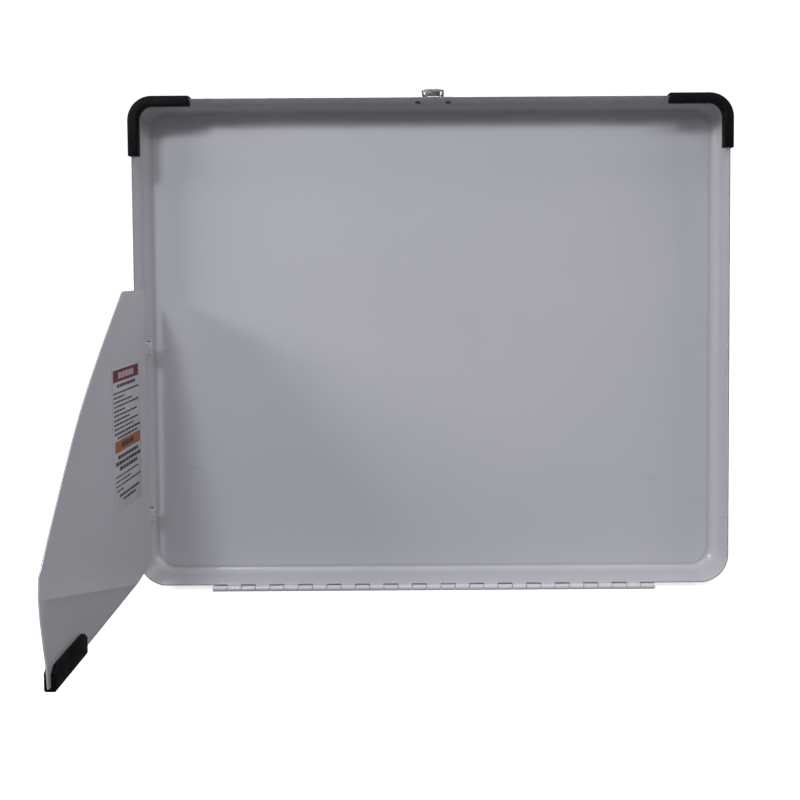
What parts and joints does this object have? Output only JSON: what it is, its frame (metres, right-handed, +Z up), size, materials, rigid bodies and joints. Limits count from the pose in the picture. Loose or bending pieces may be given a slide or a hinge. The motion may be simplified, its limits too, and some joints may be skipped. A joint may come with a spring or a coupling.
{
  "type": "camp stove lid",
  "caption": "Shallow enamelled steel lid tray on a piano hinge, with a folding wind wing, moulded corner guards and a draw latch.",
  "frame": {"origin": "middle of the lid's width, 12 mm behind the hinge pin's axis, on the underside of the folded base leaf, which is what the lid stands on", "axes": "+Z up the standing lid, -Y out of its open side, +X to the right as seen from the open side"},
  "size_m": [0.5298, 0.2355, 0.4461],
  "materials": {
    "enamel": "gloss light grey-white baked enamel on pressed steel",
    "plastic": "black moulded plastic with a fine grain",
    "chrome": "bright nickel plating",
    "steel": "zinc-plated steel fasteners",
    "label": null
  },
  "bodies": {
    "lid": {"lid_shell": "enamel", "corner_guard_left": "plastic", "corner_guard_right": "plastic", "hinge_lid_leaf": "enamel", "hinge_pin": "steel", "latch_base_plate": "chrome", "latch_lever_pin": "chrome", "latch_rivet_left": "steel", "latch_rivet_right": "steel", "wing_bracket_upper": "enamel", "wing_bracket_lower": "enamel", "wing_pin_upper": "steel", "wing_pin_lower": "steel", "wing_rivet_upper": "steel", "wing_rivet_lower": "steel"},
    "wing": {"wing_panel": "enamel", "wing_guard": "plastic", "wing_label": "label"},
    "base_leaf": {"hinge_base_leaf": "enamel"},
    "lever": {"latch_lever": "chrome"},
    "bail": {"latch_bail": "chrome"}
  },
  "joints": [
    {"name": "wing_fold", "type": "hinge", "parent": "lid", "child": "wing", "pos_m": [-0.2552, 0.003, 0.141], "axis": [0, 0, 1], "range_deg": [-8, 90]},
    {"name": "base_leaf_hinge", "type": "hinge", "parent": "lid", "child": "base_leaf", "pos_m": [0, -0.012, 0.0025], "axis": [-1, 0, 0], "range_deg": [0, 190]},
    {"name": "latch_lever_flip", "type": "hinge", "parent": "lid", "child": "lever", "pos_m": [0.002, -0.002, 0.4412], "axis": [1, 0, 0], "range_deg": [0, 130]},
    {"name": "latch_bail_swing", "type": "hinge", "parent": "lever", "child": "bail", "pos_m": [0.002, 0.005, 0.44055], "axis": [-1, 0, 0], "range_deg": [0, 130]}
  ],
  "couplings": [
    {"joint": "latch_bail_swing", "follows": "latch_lever_flip", "ratio": 1}
  ]
}
